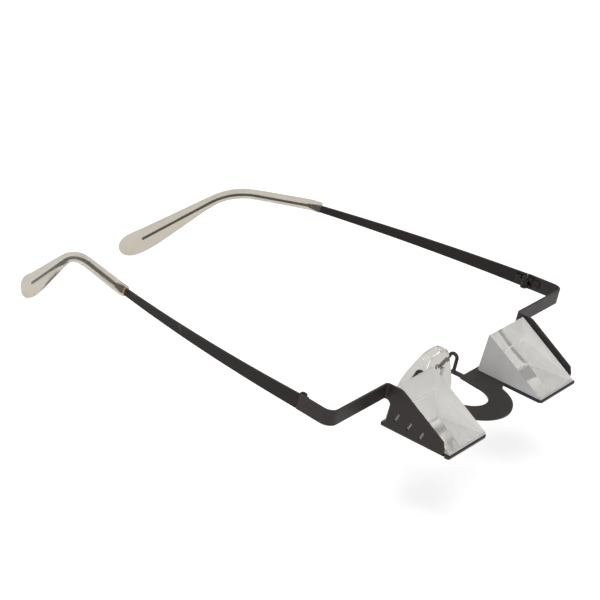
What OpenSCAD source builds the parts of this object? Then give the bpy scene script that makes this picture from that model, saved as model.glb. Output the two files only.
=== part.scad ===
// Belay glasses: two 30-60-90 glass prisms on a folded sheet metal front, with folding temples.
// Millimetres. +Z is up, -Y is the wearer's front, +X is the wearer's left.
// The origin lies on the underside of the bridge band, in the middle.

/* [Prisms] */
// width of one prism across the eye
prism_w = 24.4; // [18:0.2:28]
// depth of one prism from front edge to back face
prism_d = 26; // [20:0.5:30]
// slope of the large clear face above the mirrored base, degrees
prism_slope = 29.2; // [26:0.2:33]
// forward lean of the back face, degrees
prism_lean = 2.7; // [0:0.1:4]
// height of the ground chamfer along the thin front edge
prism_edge = 0.75; // [0.3:0.05:1.2]
// distance between the middles of the two prisms
eye_distance = 64; // [60:0.5:70]
// ground flat along the top and rear edges of a prism
prism_bevel = 0.35; // [0.2:0.05:0.8]
// thickness of the silvered layer under each prism
mirror_t = 0.08; // [0.05:0.01:0.15]
// thickness of the bonding pad under the silvered layer
bond_t = 0.12; // [0.08:0.01:0.3]

/* [Folded front] */
// thickness of the sheet metal
sheet_t = 0.8; // [0.6:0.1:1.2]
// inside radius of the side wall fold
fold_r = 0.5; // [0.3:0.1:0.8]
// room between a prism end and its side wall
wall_gap = 0.7; // [0.6:0.1:2]
// how far the side wall stands above the prism slope, upright
wall_rise = 2.1; // [1.5:0.1:3]
// lip of the base plate in front of a prism
front_lip = 0.5; // [0.3:0.1:2]
// lip of the base plate behind a prism
rear_lip = 1.4; // [0.8:0.1:2]
// lip of the base plate beside a prism, towards the nose
inner_lip = 0.6; // [0.3:0.1:1.5]
// outer radius of the bridge arch, seen from above
bridge_r = 16.8; // [15:0.2:17.4]
// width of the bridge band at the front of the arch
bridge_band = 8.8; // [7:0.2:10]
// height of the strip that carries the hinge
strip_h = 5.5; // [5:0.1:7]
// top of the strip above the underside of the plates
strip_top = 15.8; // [15:0.1:18]
// reach of the strip from the side wall to the corner bend
lug_reach = 29.9; // [26:0.1:36]
// straight run of the strip from the corner bend to the hinge
lug_run = 10.2; // [8:0.2:14]
// angle by which that run leans inwards, degrees
lug_in = 7; // [2:0.5:10]
// middle radius of the corner bend
corner_r = 3.3; // [2.5:0.1:5]
// width of the slots pierced in the side wall
slot_w = 0.9; // [0.6:0.1:1.4]

/* [Temples] */
// angle by which the open temples run inwards from hinge to sleeve, degrees
temple_in = 11.1; // [8:0.1:14]
// straight distance from the hinge to the sleeve mouth
temple_run = 83.4; // [75:0.5:92]
// drop of the flat temple from hinge to sleeve
temple_drop = 1.85; // [0.5:0.05:4]
// height of the flat temple where the sleeve starts
temple_end_h = 2.6; // [2.2:0.1:3.2]
// diameter of the core wire inside the sleeve
core_d = 1.0; // [0.8:0.1:1.3]
// diameter of the sleeve at its mouth
sleeve_d = 4.0; // [3.8:0.1:4.6]
// diameter of the sleeve over the ear bend
ear_d = 3.6; // [3.2:0.1:4]
// inward bend at the sleeve mouth, degrees
mouth_bend = 8.9; // [4:0.1:14]
// radius of the ear bend
ear_r = 27.3; // [20:0.5:34]
// angle of the ear bend, degrees
ear_bend = 38.4; // [30:0.2:50]
// width of the flat end of the sleeve
paddle_w = 8.7; // [7:0.1:10]

/* [Hinges] */
// outer diameter of the hinge barrels
barrel_d = 2.6; // [2.4:0.1:3]
// height of the three barrels together
barrel_h = 4.2; // [3.8:0.1:5]
// clear room between barrels and strip
barrel_gap = 0.4; // [0.2:0.05:0.6]
// diameter of the hinge screw
screw_d = 1.4; // [1.2:0.1:1.6]
// running clearance round the screw
screw_play = 0.04; // [0.02:0.01:0.08]
// thickness of a hinge leaf
leaf_t = 0.7; // [0.5:0.1:0.9]
// height of the two hinge leaves
leaf_h = 3; // [2.4:0.1:3.6]
// reach of the front leaf from the hinge axis
leaf_front = 5.2; // [4.6:0.1:6]
// reach of the temple leaf from the hinge axis
leaf_temple = 4.4; // [4:0.1:6]
// pocket between a leaf and the barrel of the other leaf
leaf_pocket = 0.8; // [0.3:0.1:1]
// height of the screw head above the top barrel
screw_head = 0.2; // [0.1:0.05:0.4]

/* [Nose rest] */
// diameter of the nose wires
wire_d = 1.3; // [1:0.1:1.5]
// distance of each nose wire from the middle
wire_x = 11.5; // [11:0.1:12]
// height of the top of the wire loops above the plates
loop_top = 6.8; // [5:0.1:7.5]
// thickness of the soft nose saddle
saddle_t = 2.4; // [2:0.1:3]

/* [Hidden] */
$fn = 48;

fit = 0.05;
seam_swell = 0.06;
// prism block
prism_x0 = eye_distance / 2 - prism_w / 2;
prism_x1 = eye_distance / 2 + prism_w / 2;
prism_back = 18;
prism_front = prism_back - prism_d;
prism_z0 = sheet_t + bond_t + mirror_t;
edge_run = 0.8 * prism_edge;
prism_h = (prism_edge + (prism_d - edge_run) * tan(prism_slope)) / (1 + tan(prism_lean) * tan(prism_slope));
function slope_z(y) = prism_z0 + prism_edge + (y - prism_front - edge_run) * tan(prism_slope);
// base plates and side walls
plate_front = prism_front - front_lip;
plate_back = prism_back + rear_lip;
plate_in = prism_x0 - inner_lip;
wall_in = prism_x1 + wall_gap;
wall_out = wall_in + sheet_t;
fold_x = wall_in - fold_r;
fold_z = sheet_t + fold_r;
wall_front = prism_front + 2;
wall_top_y = prism_front + edge_run + (strip_top - prism_z0 - prism_edge - wall_rise) / tan(prism_slope);
toe_z = fold_z + 0.5;
notch_r = 1.8;
slot_run = 2.5;
slot_pitch = 5.1;
// strip, corner bend and hinge place
strip_z0 = strip_top - strip_h;
turn_r = 0.6;
turn_y = plate_back - sheet_t - turn_r + 0.8;
strip_y = turn_y + turn_r + sheet_t / 2;
corner_x = wall_out + lug_reach + 0.6;
corner_y = strip_y + corner_r;
strip_mid = strip_z0 + strip_h / 2;
axis_in = sheet_t / 2 + barrel_d / 2 + barrel_gap;
hinge_z0 = strip_mid - barrel_h / 2;
knuckle_h = barrel_h / 3;
temple_gap = 0.25;
// the temple is a little lower than the lug at the hinge
temple_step = 0.12;
// temple bow, seen from above: a flat stretch at the hinge, then one gentle arc
flat_run = 7;
bow_in = temple_run * sin(temple_in - lug_in);
bow_on = temple_run * cos(temple_in - lug_in) - flat_run;
bow_turn = 2 * atan(bow_in / bow_on);
bow_r = bow_on / sin(bow_turn);
// temple tip path
mouth_r = 15;
mouth_run = 3;
mouth_roll = 64.2;
mid_run = 19.8;
ear_roll = 7.7;
tail_run = 30.4;
tip_tilt = atan(temple_drop / temple_run);
sleeve_out = 0.45;
sleeve_up = 0.3;
// bridge arch
arch_y = 11.4;
arch_web = 6.2;
arch_in_r = bridge_r - 8.2;
arch_in_y = arch_y - bridge_r + bridge_band + arch_in_r;
tongue_w = 2;
// nose wire loop
loop_r = 1.5;
loop_y = 23.1;
tongue_end = loop_y + tongue_w / 2;
loop_z = sheet_t + loop_top - loop_r - wire_d / 2;
// clip and saddle
clip_w = 1.5;
clip_d = 3;
clip_h = 4;
clip_x = wire_x - 1.2;
clip_y = loop_y + 2 * loop_r + 1.9;
clip_top = 0.75;
wire_play = 0.15;
strap_y = 26.9;
strap_z = 9.7;
strap_t = 2;
strap_w = 3.4;
strap_r = 65;
leaf_x = 7.4;

module both_sides(side) {
    if (side > 0) children();
    else mirror([1, 0, 0]) children();
}

// profiles drawn in Y and Z, pushed along X
module side_profile(x, w) {
    translate([x, 0, 0]) rotate([90, 0, 90]) linear_extrude(w) children();
}

// points on an arc about c, from angle a to angle b in n steps
function arc(c, r, a, b, n) = [for (k = [0:n]) let (t = a + (b - a) * k / n) c + r * [cos(t), sin(t)]];

module rounded_plate(x0, y0, x1, y1, r) {
    translate([x0 + r, y0]) square([x1 - x0 - 2 * r, y1 - y0]);
    translate([x0, y0 + r]) square([x1 - x0, y1 - y0 - 2 * r]);
    for (x = [x0 + r, x1 - r]) for (y = [y0 + r, y1 - r]) translate([x, y]) circle(r);
}

// rod from point a to point b
module rod(a, b, d) {
    v = b - a;
    translate(a) rotate([0, acos(v[2] / norm(v)), atan2(v[1], v[0])]) cylinder(h = norm(v), d = d);
}

// half of the flat blank, left of the middle
module blank_half() {
    rounded_plate(plate_in, plate_front, fold_x, plate_back, 1.6);
    translate([fold_x - 3, wall_front]) square([3, plate_back - wall_front - 1]);
    // front corner, which runs out to the wall
    rounded_plate(fold_x - 4, plate_front, wall_out - 0.3, wall_front - 0.3, 0.9);
    translate([0, arch_y - 4.4]) square([plate_in + 2, plate_back - arch_y + 4.4]);
    polygon([[sqrt(bridge_r * bridge_r - arch_web * arch_web) - 0.5, arch_y - arch_web], [plate_in + 0.1, arch_y - 4.6],
             [plate_in + 0.1, arch_y], [arch_in_r + 3, arch_y]]);
    translate([wire_x - tongue_w / 2, plate_back - 1]) square([tongue_w, loop_y - plate_back + 1]);
    translate([wire_x, loop_y]) circle(tongue_w / 2);
}

// opening of the nose arch
module nose_cut() {
    translate([0, arch_in_y]) circle(arch_in_r, $fn = 96);
    x = wire_x - tongue_w / 2;
    polygon([[-arch_in_r, arch_in_y], [arch_in_r, arch_in_y], [x, loop_y - 0.2],
             [x, loop_y + 6], [-x, loop_y + 6], [-x, loop_y - 0.2]]);
}

module blank() {
    linear_extrude(sheet_t) difference() {
        union() {
            blank_half();
            mirror([1, 0]) blank_half();
            intersection() {
                translate([0, arch_y]) circle(bridge_r, $fn = 128);
                translate([-plate_in, arch_y - bridge_r - 1]) square([2 * plate_in, bridge_r + 5]);
            }
        }
        nose_cut();
    }
}

module side_wall() {
    difference() {
        union() {
            // quarter round fold between base plate and wall
            translate([0, prism_back + 0.5, 0]) rotate([90, 0, 0])
                linear_extrude(prism_back + 0.5 - wall_front) polygon(concat(
                    [[fold_x - 1, 0]], arc([fold_x, fold_z], fold_r + sheet_t, -90, 0, 14),
                    [[wall_out, fold_z + 1], [wall_in, fold_z + 1]],
                    arc([fold_x, fold_z], fold_r, 0, -90, 14), [[fold_x - 1, sheet_t]]));
            side_profile(wall_in, sheet_t) polygon([
                [wall_front, fold_z], [wall_front, fold_z + 1.6], [wall_front + 0.3, fold_z + 2.2],
                [wall_front + 0.9, slope_z(wall_front + 0.9) + wall_rise],
                [wall_top_y - 0.6, strip_top - 0.35], [wall_top_y + 0.5, strip_top - 0.03],
                [wall_top_y + 1.2, strip_top], [turn_y, strip_top], [turn_y, strip_z0],
                [prism_back + 0.5, strip_z0 - 1.5], [prism_back + 0.5, fold_z]]);
        }
        // notch in the rear edge, from the toe up to the strip
        side_profile(wall_in - 1, sheet_t + 2)
            rounded_plate(prism_back - 1.1, toe_z, prism_back + 2 * notch_r + 2, strip_z0, notch_r);
        wall_slots();
    }
}

// three plain slots pierced in the side wall
module wall_slots() {
    for (k = [0, 1, 2]) side_profile(wall_in - 1, sheet_t + 2)
        translate([prism_back - 4.7 - slot_pitch * k, 5.6 - 0.2 * slot_pitch * k]) rotate(20) {
            translate([-slot_w / 2, -slot_run / 2]) square([slot_w, slot_run]);
            for (z = [-slot_run / 2, slot_run / 2]) translate([0, z]) circle(slot_w / 2);
        }
}

// strip seen from above: out of the wall, along the brow, round the corner, back to the hinge
module hinge_strip() {
    turn = [wall_out + turn_r, turn_y];
    corner = [corner_x, corner_y];
    half = sheet_t / 2;
    side = [cos(lug_in), sin(lug_in)];
    end = corner + corner_r * side + lug_run * [-side[1], side[0]];
    translate([0, 0, strip_z0]) linear_extrude(strip_h) polygon(concat(
        [[wall_in, turn_y - 0.5]],
        arc(turn, turn_r + sheet_t, 180, 90, 12),
        arc(corner, corner_r - half, -90, lug_in, 20),
        [end - half * side, end + half * side],
        arc(corner, corner_r + half, lug_in, -90, 20),
        arc(turn, turn_r, 90, 180, 12),
        [[wall_out, turn_y - 0.5]]));
}

// frame at the gap between strip and temple: Y runs back along the temple
module at_hinge() {
    translate([corner_x, corner_y, 0]) rotate([0, 0, lug_in])
        translate([corner_r, lug_run, 0]) children();
}

module front_frame() {
    color([0.19, 0.18, 0.17]) union() {
        blank();
        for (side = [1, -1]) both_sides(side) {
            side_wall();
            hinge_strip();
        }
    }
}

module prism() {
    b = prism_bevel;
    lean = tan(prism_lean);
    back = prism_h - 1.4 * b;
    apex = prism_back - prism_h * lean;
    color([0.86, 0.89, 0.88, 0.55]) side_profile(prism_x0, prism_w) translate([0, prism_z0]) polygon([
        [prism_front, 0], [prism_back - b, 0], [prism_back - b * lean, b], [prism_back - back * lean, back],
        [apex - 1.2 * b * cos(prism_slope), prism_h - 1.2 * b * sin(prism_slope)],
        [prism_front + edge_run, prism_edge], [prism_front, 0.12]]);
}

module prism_mirror() {
    color([0.75, 0.77, 0.78]) translate([prism_x0 + 0.2, prism_front + 1, sheet_t + bond_t])
        cube([prism_w - 0.4, prism_d - 1.6, mirror_t]);
}

module prism_bond() {
    color([0.1, 0.1, 0.1]) translate([prism_x0 + 0.4, prism_front + 1.2, sheet_t])
        cube([prism_w - 0.8, prism_d - 2, bond_t]);
}

module nose_wire() {
    top = [wire_x, loop_y + 2 * loop_r, loop_z];
    run = [clip_x, clip_y, clip_top] - top;
    color([0.2, 0.19, 0.18]) difference() {
        union() {
            translate([wire_x, loop_y, sheet_t]) {
                cylinder(h = 0.6, r1 = 0.98, r2 = wire_d / 2);
                cylinder(h = loop_z - sheet_t, d = wire_d);
            }
            translate([wire_x, loop_y + loop_r, loop_z]) rotate([0, -90, 0]) rotate([0, 0, -90])
                rotate_extrude(angle = 180) translate([loop_r, 0]) circle(d = wire_d);
            translate(top) seam(wire_d);
            rod(top, top + 1.3 * run, wire_d);
        }
        translate([clip_x - 3, clip_y - 3, clip_top - 4]) cube([6, 8, 4]);
    }
}

module clip_block(c) {
    translate([clip_x - clip_w / 2 - c, clip_y - clip_d / 2 - c, clip_top - clip_h - c])
        cube([clip_w + 2 * c, clip_d + 2 * c, clip_h + 2 * c]);
}

// folded metal box that holds the nose saddle on its wire
module nose_clip() {
    color([0.55, 0.55, 0.54]) difference() {
        clip_block(0);
        translate([clip_x - clip_w, clip_y - clip_d / 2 + 0.4, clip_top - clip_h + 0.5])
            cube([2 * clip_w, clip_d - 0.8, clip_h - 1.1]);
    }
}

// one leaf of the saddle that rests on the side of the nose
module nose_leaf() {
    r = saddle_t / 2;
    hull() for (p = [[-0.4, -0.7, -0.8], [0.3, 0.5, -1.1], [1.1, -2.0, -5.1], [1.5, -3.2, -8.8], [1.6, -4.6, -14.3], [1.7, -3.7, -16.3],
                     [2.4, 0.6, -16.7], [3.3, 4.1, -13.7], [3.3, 4.2, -10.7], [2.6, 3.4, -7.2], [1.8, 2.4, -4.5]])
        translate([leaf_x, strap_y, strap_z] + p) sphere(r, $fn = 28);
}

module nose_saddle() {
    half = asin(leaf_x / strap_r);
    top = [wire_x, loop_y + 2 * loop_r, loop_z];
    run = [clip_x, clip_y, clip_top] - top;
    color([0.9, 0.9, 0.86, 0.6]) difference() {
        union() {
            // strap over the bridge of the nose
            translate([0, strap_y, strap_z - strap_r]) rotate([90, 0, 0]) rotate([0, 0, 90 - half])
                rotate_extrude(angle = 2 * half, $fn = 360) translate([strap_r, 0]) {
                    w = strap_w - strap_t;
                    translate([-strap_t / 2, -w / 2]) square([strap_t, w]);
                    for (y = [-w / 2, w / 2]) translate([0, y]) circle(d = strap_t, $fn = 32);
                }
            for (side = [1, -1]) both_sides(side) {
                nose_leaf();
                // boss round the clip
                translate([clip_x - clip_w / 2 - 0.6, clip_y - clip_d / 2 - 0.7, clip_top - clip_h - 0.7])
                    cube([clip_w + 1.4, clip_d + 1.4, clip_h + 1.4]);
            }
        }
        for (side = [1, -1]) both_sides(side) {
            clip_block(fit);
            rod(top + 0.3 * run, top + 1.25 * run, wire_d + 2 * wire_play);
        }
    }
}

// barrels and tab of a leaf; levels counts the knuckles from below
module knuckles(levels, dir, play) {
    tab = barrel_d / 2 + leaf_pocket + 0.4;
    for (k = levels) translate([-axis_in, 0, hinge_z0 + k * knuckle_h + (k > 0 ? 0.03 : 0)]) {
        h = knuckle_h - (k > 0 ? 0.03 : 0) - (k < 2 ? 0.03 : 0);
        difference() {
            union() {
                cylinder(h = h, d = barrel_d);
                translate([0.1, dir > 0 ? 0 : -tab, 0]) cube([barrel_d / 2 + barrel_gap - 0.2, tab, h]);
            }
            translate([0, 0, -1]) cylinder(h = h + 2, d = screw_d + 2 * play);
        }
    }
}

// leaf from the pocket beside the barrels to its end; dir -1 on the front, 1 on the temple
module leaf_plate(reach, dir) {
    near = barrel_d / 2 + leaf_pocket;
    translate([-sheet_t / 2 - leaf_t, dir > 0 ? near : -reach, strip_mid - leaf_h / 2])
        cube([leaf_t, reach - near, leaf_h]);
}

module hinge_leaf_front() {
    color([0.27, 0.26, 0.25]) at_hinge() {
        leaf_plate(leaf_front, -1);
        knuckles([0, 2], -1, 0.02);
    }
}

module hinge_leaf_temple() {
    color([0.27, 0.26, 0.25]) at_hinge() {
        leaf_plate(leaf_temple, 1);
        knuckles([1], 1, screw_play);
    }
}

module hinge_screw() {
    color([0.5, 0.5, 0.49]) at_hinge() translate([-axis_in, 0, hinge_z0]) difference() {
        union() {
            cylinder(h = barrel_h, d = screw_d);
            translate([0, 0, barrel_h]) cylinder(h = screw_head, d = barrel_d - 0.4);
        }
        translate([-barrel_d, -0.2, barrel_h + 0.05]) cube([2 * barrel_d, 0.4, 1]);
    }
}

// frames along the tip: end of the flat strip, start of the mouth bend, after a bend
module at_strip_end() {
    translate([-bow_r * (1 - cos(bow_turn)), flat_run + bow_r * sin(bow_turn), strip_mid - temple_drop])
        rotate([0, 0, bow_turn]) rotate([-tip_tilt, 0, 0]) children();
}

module at_mouth() {
    at_strip_end() translate([0, mouth_run, 0]) children();
}

module past_bend(r, angle, roll) {
    rotate([0, roll, 0]) translate([0, 0, -r]) rotate([-angle, 0, 0]) translate([0, 0, r])
        rotate([0, -roll, 0]) children();
}

module bend_tube(r, angle, roll, d) {
    rotate([0, roll, 0]) translate([0, 0, -r]) rotate([0, -90, 0])
        rotate_extrude(angle = angle) translate([r, 0]) circle(d = d);
}

module along(len, d1, d2) {
    rotate([-90, 0, 0]) cylinder(h = len, d1 = d1, d2 = d2);
}

// ball that closes the seam between two runs of wire or sleeve
module seam(d) {
    sphere(d = d + seam_swell);
}

// flat strip seen from above, c wider on each side
module strip_plan(c) {
    half = sheet_t / 2 + c;
    centre = [-bow_r, flat_run];
    polygon(concat([[half, temple_gap]], arc(centre, bow_r + half, 0, bow_turn, 28),
                   arc(centre, bow_r - half, bow_turn, 0, 28), [[-half, temple_gap]]));
}

// flat temple with its core wire; c widens it to cut the channel in the sleeve
module temple_bar(c) {
    end_y = flat_run + bow_r * sin(bow_turn);
    end_z = strip_mid - temple_drop;
    half_h = temple_end_h / 2 + c;
    intersection() {
        translate([0, 0, strip_z0 - 10]) linear_extrude(strip_h + 20) strip_plan(c);
        side_profile(-temple_run, 2 * temple_run) polygon([
            [0, strip_z0 + temple_step - c], [end_y, end_z - half_h], [end_y + 2, end_z - half_h],
            [end_y + 2, end_z + half_h], [end_y, end_z + half_h], [0, strip_top - temple_step + c]]);
    }
    // pointed end of the strip, inside the sleeve
    at_strip_end() side_profile(-sheet_t / 2 - c, sheet_t + 2 * c) polygon([
        [-0.6, -half_h], [0.5, -half_h], [mouth_run + 2.5, -0.5 - c],
        [mouth_run + 2.5, 0.5 + c], [0.5, half_h], [-0.6, half_h]]);
    d = core_d + 2 * c;
    at_mouth() {
        translate([0, -1, 0]) along(1, d, d);
        seam(d);
        bend_tube(mouth_r, mouth_bend, mouth_roll, d);
        past_bend(mouth_r, mouth_bend, mouth_roll) {
            seam(d);
            along(mid_run, d, d);
            translate([0, mid_run, 0]) {
                seam(d);
                bend_tube(ear_r, ear_bend, ear_roll, d);
                past_bend(ear_r, ear_bend, ear_roll) {
                    seam(d);
                    along(tail_run + c, d, d);
                }
            }
        }
    }
}

module temple() {
    color([0.19, 0.18, 0.17]) at_hinge() temple_bar(0);
}

// flat end of the sleeve, from the ear bend to the tip
module paddle() {
    r = 1.4;
    w = paddle_w / 2 - r;
    hull() {
        sphere(d = ear_d + seam_swell, $fn = 32);
        for (p = [[-2.6, w - 1.2], [1.9, w - 0.5], [5.4, w - 0.5], [8.6, w - 1.3], [9.4, 0.1],
                  [8.0, -w + 0.7], [4.4, -w - 0.5], [0.4, -w - 0.6], [-3.6, -w - 0.4]])
            translate([-0.6 * sleeve_out, tail_run + p[0], p[1] - sleeve_up]) sphere(r, $fn = 28);
    }
}

module temple_sleeve() {
    color([0.85, 0.84, 0.78, 0.7]) at_hinge() difference() {
        at_mouth() translate([sleeve_out, 0, sleeve_up]) {
            translate([0, -mouth_run, 0]) along(mouth_run, sleeve_d, sleeve_d);
            seam(sleeve_d);
            bend_tube(mouth_r, mouth_bend, mouth_roll, sleeve_d);
            past_bend(mouth_r, mouth_bend, mouth_roll) {
                seam(sleeve_d);
                along(mid_run, sleeve_d, ear_d);
                translate([0, mid_run, 0]) {
                    seam(ear_d);
                    bend_tube(ear_r, ear_bend, ear_roll, ear_d);
                    past_bend(ear_r, ear_bend, ear_roll) paddle();
                }
            }
        }
        temple_bar(fit);
    }
}

front_frame();
prism();  // prism_left
both_sides(-1) prism();  // prism_right
prism_mirror();  // prism_mirror_left
both_sides(-1) prism_mirror();  // prism_mirror_right
prism_bond();  // prism_bond_left
both_sides(-1) prism_bond();  // prism_bond_right
nose_wire();  // nose_wire_left
both_sides(-1) nose_wire();  // nose_wire_right
nose_clip();  // nose_clip_left
both_sides(-1) nose_clip();  // nose_clip_right
nose_saddle();
hinge_leaf_front();  // hinge_leaf_front_left
both_sides(-1) hinge_leaf_front();  // hinge_leaf_front_right
hinge_leaf_temple();  // hinge_leaf_temple_left
both_sides(-1) hinge_leaf_temple();  // hinge_leaf_temple_right
hinge_screw();  // hinge_screw_left
both_sides(-1) hinge_screw();  // hinge_screw_right
temple();  // temple_left
both_sides(-1) temple();  // temple_right
temple_sleeve();  // temple_sleeve_left
both_sides(-1) temple_sleeve();  // temple_sleeve_right
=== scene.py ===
# %% [markdown]
# Belay glasses are worn by the person who holds a climber's rope. Two glass prisms bend the
# line of sight upwards, so the neck stays straight. This lesson dresses a CAD model of such a
# pair: the folded metal front, the prisms and the temples keep their CAD shape and get a
# finish, and the soft clear pieces are modelled again, because their smooth swelling forms
# are easier to shape here than in solid modelling.

# %% Load the fixed frame
import math
import bmesh
import bpy
from mathutils import Matrix, Vector


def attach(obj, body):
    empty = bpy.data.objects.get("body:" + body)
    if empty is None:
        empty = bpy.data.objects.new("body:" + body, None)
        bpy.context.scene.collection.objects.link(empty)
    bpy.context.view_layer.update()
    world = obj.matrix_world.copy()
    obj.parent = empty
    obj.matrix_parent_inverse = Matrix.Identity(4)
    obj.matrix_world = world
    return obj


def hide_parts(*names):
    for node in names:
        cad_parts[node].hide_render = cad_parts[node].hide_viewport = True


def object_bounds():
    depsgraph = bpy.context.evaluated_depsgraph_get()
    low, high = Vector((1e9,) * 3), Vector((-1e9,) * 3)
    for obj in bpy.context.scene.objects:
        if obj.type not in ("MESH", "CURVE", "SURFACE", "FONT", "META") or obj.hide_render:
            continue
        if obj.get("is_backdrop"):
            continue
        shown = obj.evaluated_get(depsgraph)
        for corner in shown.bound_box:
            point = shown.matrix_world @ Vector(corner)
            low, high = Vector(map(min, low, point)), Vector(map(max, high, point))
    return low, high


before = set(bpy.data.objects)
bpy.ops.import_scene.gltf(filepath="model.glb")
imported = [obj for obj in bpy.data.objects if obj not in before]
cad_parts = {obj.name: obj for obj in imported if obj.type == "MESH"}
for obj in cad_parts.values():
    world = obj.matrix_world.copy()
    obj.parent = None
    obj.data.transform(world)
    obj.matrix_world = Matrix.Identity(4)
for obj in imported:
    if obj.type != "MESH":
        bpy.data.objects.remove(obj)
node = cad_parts
cad_low, cad_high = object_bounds()
MM = 0.001
print("CAD box in mm:", [round(v / MM, 1) for v in cad_high - cad_low])

# %% [markdown]
# The camera comes first, because every later choice is judged through it. A long lens far
# away keeps the near and the far temple almost the same size, as a product photographer
# likes it. The camera is rolled a little, so the glasses seem to step down to the right.

# %% Camera
azimuth, elevation, roll = (math.radians(a) for a in (-62.472, 24.980, 13.740))
middle = Vector((0, 58, 10)) * MM  # of the open glasses
aside, lift, distance = 20.977 * MM, 5.561 * MM, 943.95 * MM
back = Vector((math.sin(azimuth) * math.cos(elevation),
               -math.cos(azimuth) * math.cos(elevation), math.sin(elevation)))
level = Vector((0, 0, 1)).cross(back).normalized()
upright = back.cross(level)
right = math.cos(roll) * level + math.sin(roll) * upright
up = math.cos(roll) * upright - math.sin(roll) * level
aim = middle - aside * right + lift * up
place = aim + distance * back

lens = bpy.data.cameras.new("camera")
lens.sensor_width, lens.lens = 36, 162.01
lens.clip_start, lens.clip_end = 0.05, 20
camera = bpy.data.objects.new("camera", lens)
bpy.context.scene.collection.objects.link(camera)
camera.matrix_world = Matrix((
    (right.x, up.x, back.x, place.x),
    (right.y, up.y, back.y, place.y),
    (right.z, up.z, back.z, place.z),
    (0, 0, 0, 1)))
bpy.context.scene.camera = camera
bpy.context.scene.view_settings.view_transform = "Standard"
print("camera in mm:", [round(v / MM) for v in place])

# %% [markdown]
# Materials are node trees. The small helpers below keep the trees readable: `add` places a
# node with its values, `wire` joins an output to an input, and `principled` starts a
# material whose plain values sit on the shader itself.

# %% Helpers for node trees
def add(tree, kind, **values):
    """Places a node; each value goes to the input of that name, or else to the setting."""
    n = tree.nodes.new(kind)
    for key, value in values.items():
        if key in n.inputs:
            n.inputs[key].default_value = value
        else:
            setattr(n, key, value)
    return n


def wire(tree, out, socket):
    tree.links.new(out, socket)


def principled(name, values):
    material = bpy.data.materials.new(name)
    material.use_nodes = True
    shader = material.node_tree.nodes["Principled BSDF"]
    for key, value in values.items():
        shader.inputs[key].default_value = value
    return material, material.node_tree, shader


def new_group(name, inputs, outputs):
    """An empty node group with float or colour or vector sockets."""
    kinds = {"f": "NodeSocketFloat", "c": "NodeSocketColor", "v": "NodeSocketVector"}
    group = bpy.data.node_groups.new(name, "ShaderNodeTree")
    for direction, sockets in (("INPUT", inputs), ("OUTPUT", outputs)):
        for label, kind in sockets:
            group.interface.new_socket(label, in_out=direction, socket_type=kinds[kind])
    return group, group.nodes.new("NodeGroupInput"), group.nodes.new("NodeGroupOutput")


# %% [markdown]
# Nearly every surface here shows two things at once: a broad unevenness, from handling and
# from how the paint or plastic flowed, and a fine grain that only shows in the gloss. One
# group makes both, so each material only chooses the sizes and the strength.

# %% Group: broad tone and fine grain
grain_group, g_in, g_out = new_group(
    "tone_and_grain",
    [("Broad Size", "f"), ("Fine Size", "f"), ("Stretch", "v")],
    [("Tone", "f"), ("Grain", "f")])
coordinates = add(grain_group, "ShaderNodeTexCoord")
stretched = add(grain_group, "ShaderNodeVectorMath", operation="MULTIPLY")
wire(grain_group, coordinates.outputs["Object"], stretched.inputs[0])
wire(grain_group, g_in.outputs["Stretch"], stretched.inputs[1])
for size, result, detail in (("Broad Size", "Tone", 3.0), ("Fine Size", "Grain", 2.0)):
    noise = add(grain_group, "ShaderNodeTexNoise", Detail=detail, Roughness=0.55)
    per_metre = add(grain_group, "ShaderNodeMath", operation="DIVIDE")
    per_metre.inputs[0].default_value = 1.0
    wire(grain_group, g_in.outputs[size], per_metre.inputs[1])
    wire(grain_group, per_metre.outputs[0], noise.inputs["Scale"])
    wire(grain_group, stretched.outputs[0], noise.inputs["Vector"])
    wire(grain_group, noise.outputs["Fac"], g_out.inputs[result])


def grain(tree, broad, fine, stretch=(1, 1, 1)):
    """Places the group; sizes in metres."""
    n = add(tree, "ShaderNodeGroup", node_tree=grain_group)
    n.inputs["Broad Size"].default_value = broad
    n.inputs["Fine Size"].default_value = fine
    n.inputs["Stretch"].default_value = stretch
    return n


def spread(tree, value, low, high, start=0.3, end=0.7):
    """A noise value of about 0.3 to 0.7 turned into low to high."""
    n = add(tree, "ShaderNodeMapRange")
    n.inputs["From Min"].default_value, n.inputs["From Max"].default_value = start, end
    n.inputs["To Min"].default_value, n.inputs["To Max"].default_value = low, high
    wire(tree, value, n.inputs["Value"])
    return n.outputs["Result"]


def blend_colours(tree, amount, dark, light):
    """Mixes two colours; 6 and 7 are the colour inputs of the Mix node, 2 its colour output."""
    n = add(tree, "ShaderNodeMix", data_type="RGBA")
    n.inputs[6].default_value, n.inputs[7].default_value = dark, light
    wire(tree, amount, n.inputs[0])
    return n.outputs[2]


def pass_shadow_rays(tree, shader, share):
    """Lets this share of the lamp light pass, which a glass shader would block."""
    seen = add(tree, "ShaderNodeLightPath")
    left = add(tree, "ShaderNodeMapRange")
    left.inputs["To Min"].default_value, left.inputs["To Max"].default_value = 1.0, 1 - share
    wire(tree, seen.outputs["Is Shadow Ray"], left.inputs["Value"])
    wire(tree, left.outputs["Result"], shader.inputs["Alpha"])


def bump(tree, shader, height, distance):
    """Raises the surface by `distance` metres where `height` is 1."""
    n = add(tree, "ShaderNodeBump", Strength=1.0, Distance=distance)
    wire(tree, height, n.inputs["Height"])
    wire(tree, n.outputs["Normal"], shader.inputs["Normal"])


# %% [markdown]
# Paint wears first where a hand or a case rubs: along the edges. A Bevel node rounds the
# normals within a tenth of a millimetre of an edge. Where the rounded normal differs from
# the true one there is an edge, and a noise breaks that line up so it looks rubbed.

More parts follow.
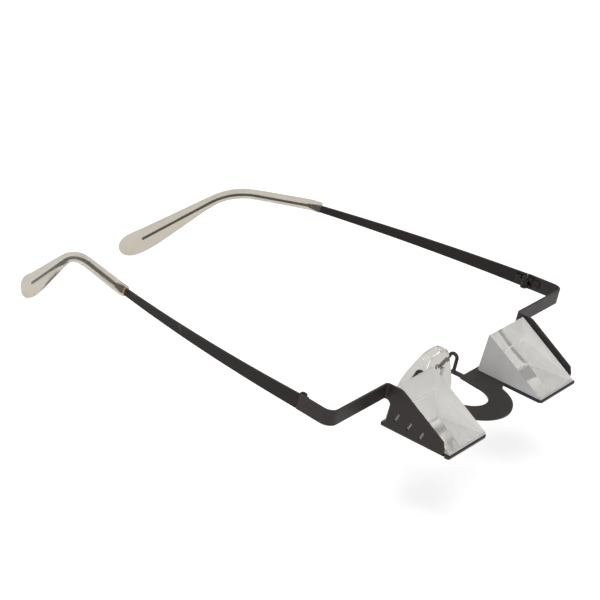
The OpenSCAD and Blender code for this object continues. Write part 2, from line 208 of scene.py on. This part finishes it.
# %% Group: rubbed edges
edge_group, e_in, e_out = new_group(
    "rubbed_edges", [("Radius", "f"), ("Patch Size", "f")], [("Mask", "f")])
rounded = add(edge_group, "ShaderNodeBevel", samples=6)
wire(edge_group, e_in.outputs["Radius"], rounded.inputs["Radius"])
true_normal = add(edge_group, "ShaderNodeNewGeometry")
agree = add(edge_group, "ShaderNodeVectorMath", operation="DOT_PRODUCT")
wire(edge_group, rounded.outputs["Normal"], agree.inputs[0])
wire(edge_group, true_normal.outputs["Normal"], agree.inputs[1])
edge = add(edge_group, "ShaderNodeMapRange")
edge.inputs["From Min"].default_value, edge.inputs["From Max"].default_value = 0.995, 0.80
wire(edge_group, agree.outputs["Value"], edge.inputs["Value"])
patches = add(edge_group, "ShaderNodeTexNoise", Detail=4.0)
patch_scale = add(edge_group, "ShaderNodeMath", operation="DIVIDE")
patch_scale.inputs[0].default_value = 1.0
wire(edge_group, e_in.outputs["Patch Size"], patch_scale.inputs[1])
wire(edge_group, patch_scale.outputs[0], patches.inputs["Scale"])
where = add(edge_group, "ShaderNodeTexCoord")
wire(edge_group, where.outputs["Object"], patches.inputs["Vector"])
patchy = add(edge_group, "ShaderNodeMapRange")
patchy.inputs["From Min"].default_value, patchy.inputs["From Max"].default_value = 0.35, 0.65
patchy.inputs["To Min"].default_value = 0.25
wire(edge_group, patches.outputs["Fac"], patchy.inputs["Value"])
both = add(edge_group, "ShaderNodeMath", operation="MULTIPLY")
wire(edge_group, edge.outputs["Result"], both.inputs[0])
wire(edge_group, patchy.outputs["Result"], both.inputs[1])
wire(edge_group, both.outputs[0], e_out.inputs["Mask"])


def rubbed(tree, radius, patch):
    """Places the group; sizes in metres."""
    n = add(tree, "ShaderNodeGroup", node_tree=edge_group)
    n.inputs["Radius"].default_value = radius
    n.inputs["Patch Size"].default_value = patch
    return n.outputs["Mask"]


# %% [markdown]
# The metal front and the temples have a thin matt charcoal coating. It could be a black
# metal, but the real one is a lacquer on steel: dark, with a low satin sheen, slightly
# warm, and a little paler where the edges have been rubbed.

# %% Coated metals
WORN_EDGE, EDGE_RADIUS, WORN_PATCH = (0.10, 0.09, 0.08, 1), 0.16 * MM, 1.4 * MM


def coated_metal(name, dark, light, roughness, stretch, sheen=0.5):
    material, tree, shader = principled(name, {"Specular IOR Level": sheen,
                                               "Specular Tint": (1.0, 0.90, 0.86, 1)})
    g = grain(tree, 9 * MM, 0.12 * MM, stretch)
    body = blend_colours(tree, spread(tree, g.outputs["Tone"], 0, 1), dark, light)
    worn = add(tree, "ShaderNodeMix", data_type="RGBA")
    worn.inputs[7].default_value = WORN_EDGE
    wire(tree, rubbed(tree, EDGE_RADIUS, WORN_PATCH), worn.inputs[0])
    wire(tree, body, worn.inputs[6])
    wire(tree, worn.outputs[2], shader.inputs["Base Color"])
    wire(tree, spread(tree, g.outputs["Tone"], roughness - 0.04, roughness + 0.05),
         shader.inputs["Roughness"])
    bump(tree, shader, g.outputs["Grain"], 0.006 * MM)
    return material


front_coat = coated_metal("charcoal_coat_front", (0.0170, 0.0142, 0.0142, 1),
                          (0.0235, 0.0198, 0.0198, 1), 0.42, (1, 1, 1))
# painted shade: the temples get a darker copy of the front's coating, for the lesser light on
# them
temple_coat_painted_shade = coated_metal("charcoal_coat_temple", (0.0030, 0.0026, 0.0025, 1),
                           (0.0055, 0.0048, 0.0046, 1), 0.36, (1, 0.25, 1), sheen=0.4)
hinge_coat = coated_metal("charcoal_coat_hinge", (0.0040, 0.0036, 0.0034, 1),
                          (0.0070, 0.0062, 0.0058, 1), 0.34, (1, 1, 1))
print("coated metals:", front_coat.name, temple_coat_painted_shade.name, hinge_coat.name)


# %% [markdown]
# The hinge screws are steel too, but blackened. The clips inside the saddle are bright, and
# ribbed where they grip the silicone, so a wave of one millimetre paints dark stripes between
# the ribs: painted shade, not cut into the mesh.

# %% Steel of the screws and clips
def bare_steel(name, dark, light, roughness, ribs=0.0):
    material, tree, shader = principled(name, {"Metallic": 1.0})
    g = grain(tree, 2 * MM, 0.08 * MM, (1, 1, 6))
    body = blend_colours(tree, spread(tree, g.outputs["Tone"], 0, 1), dark, light)
    if ribs:
        spot = add(tree, "ShaderNodeTexCoord")
        wave = add(tree, "ShaderNodeTexWave", bands_direction="Y")
        # a wave of scale 1 repeats every pi / 10 metres
        wave.inputs["Scale"].default_value = math.pi / 10 / ribs
        wire(tree, spot.outputs["Object"], wave.inputs["Vector"])
        # painted shade: dark stripes between the ribs stand in for their shade
        groove_shade = add(tree, "ShaderNodeMix", data_type="RGBA")
        groove_shade.inputs[6].default_value = (0.02, 0.02, 0.02, 1)
        wire(tree, spread(tree, wave.outputs["Fac"], 0, 1, 0.25, 0.6), groove_shade.inputs[0])
        wire(tree, body, groove_shade.inputs[7])
        body = groove_shade.outputs[2]
    wire(tree, body, shader.inputs["Base Color"])
    wire(tree, spread(tree, g.outputs["Grain"], roughness - 0.06, roughness + 0.1),
         shader.inputs["Roughness"])
    bump(tree, shader, g.outputs["Grain"], 0.004 * MM)
    return material


screw_steel = bare_steel("blackened_steel_screw", (0.045, 0.042, 0.040, 1),
                         (0.085, 0.080, 0.076, 1), 0.32)
clip_steel = bare_steel("bright_steel_clip", (0.55, 0.54, 0.52, 1),
                        (0.72, 0.71, 0.69, 1), 0.25, ribs=1.0 * MM)

# %% [markdown]
# The prisms are the heart of the glasses. Each is a glass block with a silvered base. The
# long slope is polished, the two ends are finely ground, and the small flats along the edges
# are ground too, so they scatter light as thin pale lines. The face towards the eye is
# polished as well, but the photograph shows it as a pale grey field, so most of it
# scatters light here. One block of mesh carries all these finishes: each face gets the slot
# that its direction asks for.
#
# Two choices make the glass as bright as in a studio. Lamp light may pass through it, which
# a glass shader would block, because the Alpha falls for shadow rays only. And the ground
# ends are painted darker on their outer side than on their inner side, as painted shade for
# the shadow they stand in; the Backfacing output tells the two sides apart.
# Clear glass would be simpler, but its inside would come out nearly black.

# %% Prism finishes
def glass(name, tint_low, tint_high, rough_low, rough_high, clear, fine, bump_height,
          outside=None):
    """Glass that lets through the share `clear`; the last argument, if given, is a darker tint
    for the outer side: painted shade.
    """
    material, tree, shader = principled(name, {"Transmission Weight": clear, "IOR": 1.52})
    g = grain(tree, 7 * MM, fine)
    tint = blend_colours(tree, spread(tree, g.outputs["Tone"], 0, 1), tint_low, tint_high)
    # painted shade: the outer side takes the darker tint, the inner side the glass's own
    if outside:
        face = add(tree, "ShaderNodeNewGeometry")
        sides = add(tree, "ShaderNodeMix", data_type="RGBA")
        wire(tree, face.outputs["Backfacing"], sides.inputs[0])
        wire(tree, blend_colours(tree, spread(tree, g.outputs["Tone"], 0, 1), *outside),
             sides.inputs[6])
        wire(tree, tint, sides.inputs[7])
        tint = sides.outputs[2]
    wire(tree, tint, shader.inputs["Base Color"])
    wire(tree, spread(tree, g.outputs["Tone"], rough_low, rough_high),
         shader.inputs["Roughness"])
    bump(tree, shader, g.outputs["Grain"], bump_height)
    pass_shadow_rays(tree, shader, 0.9 * clear)
    return material


polished = glass("glass_polished", (0.97, 0.96, 0.945, 1), (0.985, 0.975, 0.96, 1),
                 0.0, 0.012, 1.0, 6 * MM, 0.0002 * MM)
# painted shade: the ground ends are painted darker on their outer side
ground = glass("glass_ground", (0.93, 0.925, 0.92, 1), (0.97, 0.965, 0.96, 1),
               0.5, 0.62, 0.2, 0.15 * MM, 0.003 * MM,
               outside=((0.53, 0.525, 0.525, 1), (0.585, 0.58, 0.58, 1)))
eye_side = glass("glass_eye_side", (0.77, 0.755, 0.73, 1), (0.81, 0.795, 0.77, 1),
                 0.0, 0.012, 0.3, 6 * MM, 0.0002 * MM)
silvered, tree, shader = principled("silvered_base", {"Metallic": 1.0})
g = grain(tree, 5 * MM, 0.2 * MM)
wire(tree, blend_colours(tree, spread(tree, g.outputs["Tone"], 0, 1),
                         (0.92, 0.92, 0.91, 1), (0.95, 0.95, 0.94, 1)),
     shader.inputs["Base Color"])
wire(tree, spread(tree, g.outputs["Grain"], 0.02, 0.06), shader.inputs["Roughness"])
bump(tree, shader, g.outputs["Grain"], 0.0006 * MM)
bond, tree, shader = principled("bonding_pad", {"Specular IOR Level": 0.3})
g = grain(tree, 2 * MM, 0.2 * MM)
wire(tree, blend_colours(tree, g.outputs["Tone"], (0.012, 0.012, 0.012, 1),
                         (0.03, 0.03, 0.028, 1)), shader.inputs["Base Color"])
wire(tree, spread(tree, g.outputs["Grain"], 0.6, 0.8), shader.inputs["Roughness"])
bump(tree, shader, g.outputs["Grain"], 0.02 * MM)


# %% Give each prism face its finish
POLISHED, GROUND, SILVERED, EYE_SIDE = range(4)
FLAT_AREA = 30 * MM ** 2  # the triangles of the small edge flats stay below this


def finish_prism(block):
    mesh = block.data
    mesh.materials.clear()
    for m in (polished, ground, silvered, eye_side):
        mesh.materials.append(m)
    count = [0, 0, 0, 0]
    for face in mesh.polygons:
        n = face.normal
        if n.z < -0.9:
            kind = SILVERED
        elif abs(n.x) < 0.05 and face.area > FLAT_AREA:
            kind = EYE_SIDE if n.y > 0.9 else POLISHED
        else:
            kind = GROUND
        face.material_index = kind
        count[kind] += 1
    print(block.name, "faces polished, ground, silvered, eye side:", count)


for side in ("left", "right"):
    finish_prism(node["prism_" + side])

# %% [markdown]
# The ear sleeves and the nose saddle are clear soft plastic with a warm grey tint, which each
# surface adds once. With the true index of about 1.45 a round sleeve would spread the wire
# inside into a wide grey band. So the index is low, and a coat of the true index gives the
# gloss. The plastic grips the wire without air, so the bore neither bends nor mirrors light.

# %% Clear plastics
SOFT_INDEX, TRUE_INDEX = 1.09, 1.45


def clear_plastic(name, tint_low, tint_high, rough_low, rough_high, clear,
                  index=SOFT_INDEX, gloss=0.8):
    material, tree, shader = principled(name, {
        "Transmission Weight": clear, "IOR": index, "Coat Weight": gloss,
        "Coat Roughness": 0.06, "Coat IOR": TRUE_INDEX})
    g = grain(tree, 6 * MM, 1.6 * MM)
    wire(tree, blend_colours(tree, spread(tree, g.outputs["Tone"], 0, 1),
                             tint_low, tint_high), shader.inputs["Base Color"])
    wire(tree, spread(tree, g.outputs["Tone"], rough_low, rough_high),
         shader.inputs["Roughness"])
    bump(tree, shader, g.outputs["Grain"], 0.003 * MM)
    pass_shadow_rays(tree, shader, 0.8 * clear)
    return material


sleeve_plastic = clear_plastic("clear_sleeve_plastic", (0.73, 0.675, 0.575, 1),
                               (0.80, 0.745, 0.65, 1), 0.05, 0.12, 0.92)
sleeve_mouth = clear_plastic("amber_cut_end", (0.80, 0.55, 0.30, 1),
                             (0.86, 0.62, 0.38, 1), 0.2, 0.3, 0.5, index=1.16)
sleeve_bore = clear_plastic("sleeve_on_wire", (0.93, 0.92, 0.90, 1),
                            (0.97, 0.96, 0.94, 1), 0.0, 0.02, 1.0, index=1.01, gloss=0.0)
saddle_silicone = clear_plastic("clear_silicone", (0.83, 0.805, 0.755, 1),
                                (0.88, 0.855, 0.81, 1), 0.04, 0.10, 0.92)

# %% Dress the CAD pieces that keep their shape
finish_of = {
    "front_frame": front_coat,
    "prism_mirror": silvered, "prism_bond": bond,
    "nose_wire": front_coat, "nose_clip": clip_steel,
    "hinge_leaf_front": hinge_coat, "hinge_leaf_temple": hinge_coat,
    "hinge_screw": screw_steel, "temple": temple_coat_painted_shade,
}
for name, piece in node.items():
    stem = name.replace("_left", "").replace("_right", "")
    if stem in finish_of:
        piece.data.materials.clear()
        piece.data.materials.append(finish_of[stem])

# %% [markdown]
# A sheet metal edge is never perfectly sharp. Weld joins the loose triangles of the CAD mesh
# and a small Bevel takes the edge off, which is what catches the light in the photograph.

# %% Break the sharp edges
def weld_seams(piece):
    weld = piece.modifiers.new("weld", "WELD")
    weld.merge_threshold = 0.002 * MM


def break_edges(piece, width, angle=35):
    weld_seams(piece)
    soften = piece.modifiers.new("edge", "BEVEL")
    soften.width, soften.segments = width, 2
    soften.limit_method, soften.angle_limit = "ANGLE", math.radians(angle)
    soften.use_clamp_overlap = True
    soften.harden_normals = True


for side in ("left", "right"):
    for stem, width in (("temple", 0.10), ("hinge_leaf_front", 0.06),
                        ("hinge_leaf_temple", 0.06), ("hinge_screw", 0.05)):
        break_edges(node[f"{stem}_{side}"], width * MM)
break_edges(node["front_frame"], 0.10 * MM)

# %% [markdown]
# The silvered layer and the base of the prism lie at exactly the same height in the CAD
# model. A ray inside the glass would then hit both at once and turn black. A Displace
# modifier draws the layer back by a hundredth of a millimetre, too little to see.

# %% Keep the silvered layer just clear of the glass
for side in ("left", "right"):
    layer = node["prism_mirror_" + side]
    weld_seams(layer)
    draw_back = layer.modifiers.new("clear_of_glass", "DISPLACE")
    draw_back.mid_level, draw_back.strength = 0.0, -0.012 * MM

# %% [markdown]
# The ear sleeve is a tube that is drawn over the core wire, bent inwards at its mouth, bent
# down behind the ear, and flattened into a paddle. It is made as the real one could be
# extruded: a ring is pushed out step by step, and at each step it is turned, narrowed or
# flattened. The steps use the same walk as the wire inside, so the wire stays in the middle.

# %% Walking frames along the temple tip
RAD = math.radians(1)
# the sizes of the CAD model's temple and core wire, in mm and degrees
LUG_CORNER, LUG_IN, CORNER_R, LUG_RUN, STRIP_MID = (76.2, 23.1), 7.0, 3.3, 10.2, 13.05
FLAT_RUN, TEMPLE_RUN, TEMPLE_IN, TEMPLE_DROP = 7.0, 83.4, 11.1, 1.85
MOUTH_RUN, MOUTH_R, MOUTH_BEND, MOUTH_ROLL = 3.0, 15, 8.9, 64.2
MID_RUN, EAR_R, EAR_BEND, EAR_ROLL, TAIL_RUN = 19.8, 27.3, 38.4, 7.7, 30.4


def step(y):
    return Matrix.Translation((0, y * MM, 0))


def bend(radius, angle, roll):
    """An arc that starts along +Y; `roll` turns its centre round the path."""
    turn = Matrix.Rotation(roll * RAD, 4, "Y")
    centre = Matrix.Translation((0, 0, radius * MM))
    arc = centre.inverted() @ Matrix.Rotation(-angle * RAD, 4, "X") @ centre
    return turn @ arc @ turn.inverted()


bow_in = TEMPLE_RUN * math.sin((TEMPLE_IN - LUG_IN) * RAD)
bow_on = TEMPLE_RUN * math.cos((TEMPLE_IN - LUG_IN) * RAD) - FLAT_RUN
bow_turn = 2 * math.atan(bow_in / bow_on)
bow_radius = bow_on / math.sin(bow_turn)
at_hinge = (Matrix.Translation((LUG_CORNER[0] * MM, LUG_CORNER[1] * MM, 0))
            @ Matrix.Rotation(LUG_IN * RAD, 4, "Z")
            @ Matrix.Translation((CORNER_R * MM, LUG_RUN * MM, 0)))
at_mouth = (at_hinge
            @ Matrix.Translation((-bow_radius * (1 - math.cos(bow_turn)) * MM,
                                  (FLAT_RUN + bow_radius * math.sin(bow_turn)) * MM,
                                  (STRIP_MID - TEMPLE_DROP) * MM))
            @ Matrix.Rotation(bow_turn, 4, "Z")
            @ Matrix.Rotation(-math.atan(TEMPLE_DROP / TEMPLE_RUN), 4, "X")
            @ step(MOUTH_RUN))
print("sleeve mouth in mm:", [round(v / MM, 2) for v in at_mouth.translation])


# %% Rings of the sleeve: where they stand and how wide and thick they are
SLEEVE_THICK, SLEEVE_WIDE, EAR_NARROWER = 3.3, 3.9, 0.3
SLEEVE_OUT, SLEEVE_UP = 0.45, 0.3  # from the middle of the wire to that of the sleeve


def ring_matrix(where, thick, wide, x=0.0, z=0.0):
    """Turns a flat circle of radius 1 into a ring across the path at `where`."""
    across = Matrix.Rotation(-90 * RAD, 4, "X")
    return (where @ Matrix.Translation((x * MM, 0, z * MM))
            @ Matrix.Diagonal((thick / 2 * MM, 1, wide / 2 * MM, 1)) @ across)


def sleeve_rings():
    """Rings from the mouth to the end of the ear bend, and the place where the tail starts."""
    def ring(where, narrower=0.0):
        return ring_matrix(where, SLEEVE_THICK - narrower, SLEEVE_WIDE - narrower,
                           SLEEVE_OUT, SLEEVE_UP)

    w = at_mouth @ step(-MOUTH_RUN)
    rings = [ring(w, 0.4), ring(w @ step(0.12), 0.1), ring(w @ step(0.5)), ring(w @ step(2.4))]
    w = at_mouth
    rings += [ring(w @ bend(MOUTH_R, MOUTH_BEND * k / 4, MOUTH_ROLL)) for k in range(1, 4)]
    w = w @ bend(MOUTH_R, MOUTH_BEND, MOUTH_ROLL)
    rings += [ring(w @ step(MID_RUN * k / 6), EAR_NARROWER * k / 6) for k in range(1, 6)]
    w = w @ step(MID_RUN)
    rings += [ring(w @ bend(EAR_R, EAR_BEND * k / 8, EAR_ROLL), EAR_NARROWER)
              for k in range(1, 8)]
    return rings, w @ bend(EAR_R, EAR_BEND, EAR_ROLL)


def bore_rings():
    """The same walk for the bore, a little wider than the strip and the wire inside."""
    bore = 1.12
    w = at_mouth
    rings = [ring_matrix(w @ step(along), thick, wide) for along, thick, wide in (
        (-MOUTH_RUN, 1.15, 2.85), (-2.4, 1.12, 2.8), (0.2, 1.1, 2.5), (2.6, 1.15, 1.5))]
    w = w @ bend(MOUTH_R, MOUTH_BEND, MOUTH_ROLL)
    rings += [ring_matrix(w @ step(MID_RUN * k / 4), bore, bore) for k in range(1, 4)]
    w = w @ step(MID_RUN)
    rings += [ring_matrix(w @ bend(EAR_R, EAR_BEND * k / 6, EAR_ROLL), bore, bore)
              for k in range(1, 6)]
    w = w @ bend(EAR_R, EAR_BEND, EAR_ROLL)
    rings += [ring_matrix(w @ step(TAIL_RUN * k / 5), bore, bore) for k in range(6)]
    rings.append(ring_matrix(w @ step(TAIL_RUN + 0.15), 0.6, 0.6))
    return rings


def round_ring(bm, segments=16):
    return bmesh.ops.create_circle(bm, cap_ends=False, segments=segments, radius=1)["verts"]


def flat_sided_ring(bm, corner=0.62):
    """A square of half width 1 with rounded corners, 16 points."""
    before = set(bm.verts)
    bmesh.ops.create_grid(bm, x_segments=1, y_segments=1, size=1)
    made = [v for v in bm.verts if v not in before]
    bmesh.ops.bevel(bm, geom=made, offset=corner, offset_type="OFFSET", segments=3,
                    profile=0.5, affect="VERTICES", material=-1)
    made = [v for v in bm.verts if v not in before]
    bmesh.ops.delete(bm, geom=[f for f in bm.faces if f.verts[0] in made],
                     context="FACES_ONLY")
    return made


def ring_edges(bm, verts):
    """The edges between the points of one ring, always in the same order."""
    inside = set(verts)
    return [e for e in bm.edges if all(v in inside for v in e.verts)]


def tube(bm, rings, first):
    """Pushes the ring `first` from place to place; returns the first and the last ring."""
    bmesh.ops.transform(bm, matrix=rings[0], verts=first)
    last, last_place = first, rings[0]
    for place_now in rings[1:]:
        made = bmesh.ops.extrude_edge_only(bm, edges=ring_edges(bm, last))["geom"]
        last = [g for g in made if isinstance(g, bmesh.types.BMVert)]
        bmesh.ops.transform(bm, matrix=place_now @ last_place.inverted(), verts=last)
        last_place = place_now
    return first, last


def as_piece(bm, name, *materials):
    """Makes an object of the mesh, with smooth shading and two levels of subdivision."""
    bmesh.ops.recalc_face_normals(bm, faces=bm.faces)
    mesh = bpy.data.meshes.new(name)
    bm.to_mesh(mesh)
    bm.free()
    for m in materials:
        mesh.materials.append(m)
    for face in mesh.polygons:
        face.use_smooth = True
    piece = bpy.data.objects.new(name, mesh)
    bpy.context.scene.collection.objects.link(piece)
    smooth = piece.modifiers.new("smooth", "SUBSURF")
    smooth.levels = smooth.render_levels = 2
    return piece


# %% The sleeve with its paddle and its bore
CUT_END, BORE = 1, 2  # material slots; the skin has slot 0
PADDLE = [  # distance along the tail, lower edge, upper edge, thickness, all in mm
    (3.0, -1.9, 2.28, 3.0), (7.0, -2.4, 2.52, 3.0), (11.5, -2.93, 2.76, 2.95),
    (16.0, -3.46, 3.0, 2.9), (20.5, -4.0, 3.24, 2.85), (24.5, -4.45, 3.44, 2.8),
    (28.0, -4.72, 3.62, 2.8), (31.5, -4.8, 4.0, 2.75), (35.0, -4.55, 4.2, 2.7),
    (37.5, -3.85, 3.8, 2.6), (39.2, -2.8, 2.9, 2.3), (40.2, -1.55, 1.65, 1.8),
    (40.5, -0.65, 0.75, 1.1)]


def make_sleeve(side):
    rings, tail = sleeve_rings()
    for y, low, high, thick in PADDLE:
        outward = SLEEVE_OUT - 0.27 * min(1, y / 30)
        rings.append(ring_matrix(tail @ step(y), thick, high - low, outward,
                                 (low + high) / 2))
    bm = bmesh.new()
    mouth, tip = tube(bm, rings, flat_sided_ring(bm))
    bmesh.ops.edgenet_fill(bm, edges=ring_edges(bm, tip))
    skin = set(bm.faces)
    bore_mouth, bore_end = tube(bm, bore_rings(), round_ring(bm))
    bmesh.ops.edgenet_fill(bm, edges=ring_edges(bm, bore_end))
    for face in bm.faces:
        if face not in skin:
            face.material_index = BORE
    cut = bmesh.ops.bridge_loops(
        bm, edges=ring_edges(bm, mouth) + ring_edges(bm, bore_mouth))
    for face in cut["faces"]:
        face.material_index = CUT_END
    if side == "right":
        bmesh.ops.scale(bm, vec=(-1, 1, 1), verts=bm.verts)
    piece = as_piece(bm, "ear_sleeve_" + side, sleeve_plastic, sleeve_mouth, sleeve_bore)
    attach(piece, side + "_temple")
    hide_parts("temple_sleeve_" + side)
    return piece


sleeves = [make_sleeve(side) for side in ("left", "right")]
print("sleeve faces before smoothing:", [len(s.data.polygons) for s in sleeves])

# %% [markdown]
# The nose saddle is one soft clear moulding: a strap over the ridge of the nose that swells
# into two thin leaves. Half of it is a single ring pushed along the strap and down the
# leaf, wide and thin at the bottom. Mirroring the half across the middle makes the other.
# The ring is pinched between its two ends, so that a thin web stands inside a thicker rim,
# as on a moulded nose pad.

# %% Nose saddle
SADDLE = [  # x, z, lean of the path in degrees, front edge y, rear edge y, thickness
    (0.0, 10.35, 90, 25.2, 28.6, 2.0), (2.6, 10.27, 93, 25.2, 28.6, 2.0),
    (4.9, 9.90, 101, 25.15, 28.65, 2.0), (6.5, 9.05, 117, 25.1, 28.8, 2.05),
    (7.5, 7.7, 138, 24.85, 29.2, 2.15), (8.15, 5.9, 156, 24.3, 30.0, 2.3),
    (8.6, 3.6, 166, 23.4, 31.0, 2.4), (9.0, 1.2, 171, 22.6, 31.8, 2.5),
    (9.35, -1.2, 173, 21.8, 32.4, 2.5), (9.6, -3.4, 175, 21.25, 32.6, 2.4),
    (9.75, -5.4, 177, 21.3, 32.3, 2.2), (9.8, -7.0, 179, 22.6, 30.8, 1.8),
    (9.8, -7.85, 180, 24.4, 29.0, 1.1)]


def rimmed_ring(bm):
    """A ring of radius 1 that is pinched flat between its two ends."""
    ring = round_ring(bm, 24)
    web = [v for v in ring if abs(v.co.y) < 0.75]
    bmesh.ops.scale(bm, vec=(0.78, 1, 1), verts=web)
    bmesh.ops.scale(bm, vec=(1.55, 1, 1), verts=[v for v in ring if v not in web])
    return ring


def make_saddle():
    rings = []
    for x, z, lean, front, rear, thick in SADDLE:
        yaw = 9 * max(0, (lean - 90) / 90) ** 2  # the leaves open towards the face
        rings.append(Matrix.Translation((x * MM, (front + rear) / 2 * MM, z * MM))
                     @ Matrix.Rotation(lean * RAD, 4, "Y") @ Matrix.Rotation(yaw * RAD, 4, "Z")
                     @ Matrix.Diagonal((thick / 2 * MM, (rear - front) / 2 * MM, 1, 1)))
    bm = bmesh.new()
    middle, bottom = tube(bm, rings, rimmed_ring(bm))
    bmesh.ops.edgenet_fill(bm, edges=ring_edges(bm, bottom))
    bmesh.ops.mirror(bm, geom=bm.verts[:] + bm.edges[:] + bm.faces[:], axis="X",
                     merge_dist=0.01 * MM)
    piece = as_piece(bm, "clear_nose_saddle", saddle_silicone)
    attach(piece, "front")
    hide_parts("nose_saddle")
    return piece


saddle = make_saddle()
print("saddle faces before smoothing:", len(saddle.data.polygons))

# %% [markdown]
# The floor is plain and pale. It takes the soft shadow of the glasses, and its own glow for
# camera, gloss and glass rays lifts it to white without adding any light to the glasses.

# %% Floor
CAMERA_GLOW, MIRRORED_GLOW = 0.50, 0.05
HALF_WIDTH, BELOW = 4.0, 0.2 * MM
bm = bmesh.new()
bmesh.ops.create_grid(bm, x_segments=1, y_segments=1, size=HALF_WIDTH)
bmesh.ops.translate(bm, verts=bm.verts, vec=(0, 0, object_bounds()[0].z - BELOW))
floor_mesh = bpy.data.meshes.new("floor")
bm.to_mesh(floor_mesh)
bm.free()
floor = bpy.data.objects.new("floor", floor_mesh)
bpy.context.scene.collection.objects.link(floor)
floor_white, tree, shader = principled("floor_white", {
    "Roughness": 0.9, "Specular IOR Level": 0.0, "Emission Color": (1, 1, 1, 1)})
g = grain(tree, 0.3, 2 * MM)
wire(tree, blend_colours(tree, spread(tree, g.outputs["Tone"], 0, 1),
                         (0.80, 0.80, 0.80, 1), (0.82, 0.82, 0.82, 1)),
     shader.inputs["Base Color"])
seen = add(tree, "ShaderNodeLightPath")
mirrored = add(tree, "ShaderNodeMath", operation="ADD", use_clamp=True)
wire(tree, seen.outputs["Is Glossy Ray"], mirrored.inputs[0])
wire(tree, seen.outputs["Is Transmission Ray"], mirrored.inputs[1])
for_gloss = add(tree, "ShaderNodeMath", operation="MULTIPLY")
for_gloss.inputs[1].default_value = MIRRORED_GLOW
wire(tree, mirrored.outputs[0], for_gloss.inputs[0])
glow = add(tree, "ShaderNodeMath", operation="MULTIPLY_ADD")
glow.inputs[1].default_value = CAMERA_GLOW
wire(tree, seen.outputs["Is Camera Ray"], glow.inputs[0])
wire(tree, for_gloss.outputs[0], glow.inputs[2])
wire(tree, glow.outputs[0], shader.inputs["Emission Strength"])
floor_mesh.materials.append(floor_white)
floor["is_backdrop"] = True

# %% [markdown]
# The surroundings are white for the camera. Gloss sees a pale horizon and a dimmer ceiling,
# which keeps the tops of the dark metal dark. Glass sees a dimmer white, so it stays grey
# against the background, and matt surfaces get half the light, as from a white room.

# %% World
WHITE_THROUGH_GLASS, WHITE_ON_MATT = 0.62, 0.5
world = bpy.data.worlds.new("studio")
bpy.context.scene.world = world
world.use_nodes = True
tree = world.node_tree
tree.nodes.clear()
result = add(tree, "ShaderNodeOutputWorld")
seen = add(tree, "ShaderNodeLightPath")
direction = add(tree, "ShaderNodeTexCoord")
height = add(tree, "ShaderNodeSeparateXYZ")
wire(tree, direction.outputs["Generated"], height.inputs[0])
ceiling = add(tree, "ShaderNodeMapRange", interpolation_type="SMOOTHSTEP")
for key, value in (("From Min", 0.10), ("From Max", 0.42), ("To Min", 1.0), ("To Max", 0.30)):
    ceiling.inputs[key].default_value = value
wire(tree, height.outputs["Z"], ceiling.inputs["Value"])
for_gloss = add(tree, "ShaderNodeMath", operation="MULTIPLY")
wire(tree, ceiling.outputs["Result"], for_gloss.inputs[0])
wire(tree, seen.outputs["Is Glossy Ray"], for_gloss.inputs[1])
total = for_gloss
for ray, share in (("Is Transmission Ray", WHITE_THROUGH_GLASS), ("Is Camera Ray", 1.0),
                   ("Is Diffuse Ray", WHITE_ON_MATT)):
    more = add(tree, "ShaderNodeMath", operation="MULTIPLY_ADD")
    more.inputs[1].default_value = share
    wire(tree, seen.outputs[ray], more.inputs[0])
    wire(tree, total.outputs[0], more.inputs[2])
    total = more
sky = add(tree, "ShaderNodeBackground", Color=(1, 1, 1, 1))
wire(tree, total.outputs[0], sky.inputs["Strength"])
wire(tree, sky.outputs[0], result.inputs["Surface"])

# %% [markdown]
# Two large soft lamps stand above the glasses and just over the camera. A small one at the
# left adds the narrow highlights that make the clear pieces look smooth. None of them shows
# through the glass, because a lamp seen in it would be a bright square.

# %% Lamps
LAMP_AIM = Vector((0, 50, 0)) * MM


def softbox(name, place, size, power):
    data = bpy.data.lights.new(name, "AREA")
    data.shape, data.size, data.energy = "SQUARE", size, power
    lamp = bpy.data.objects.new(name, data)
    bpy.context.scene.collection.objects.link(lamp)
    lamp.location = place
    lamp.rotation_mode = "QUATERNION"
    lamp.rotation_quaternion = (LAMP_AIM - Vector(place)).to_track_quat("-Z", "Y")
    lamp.visible_camera = False
    lamp.visible_transmission = False


softbox("top_soft", (-0.1, 0.1, 1.1), 1.0, 4.0)
softbox("front_soft", (-0.9, -0.6, 0.75), 0.8, 4.0)
softbox("small_key", (-0.5, 0.35, 1.0), 0.12, 0.5)

# %% How far the dressed pieces reach past the CAD box
vis_low, vis_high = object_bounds()
grown = (*(cad_low - vis_low), *(vis_high - cad_high))
print("grown by, mm:", [round(v / MM, 2) for v in grown])
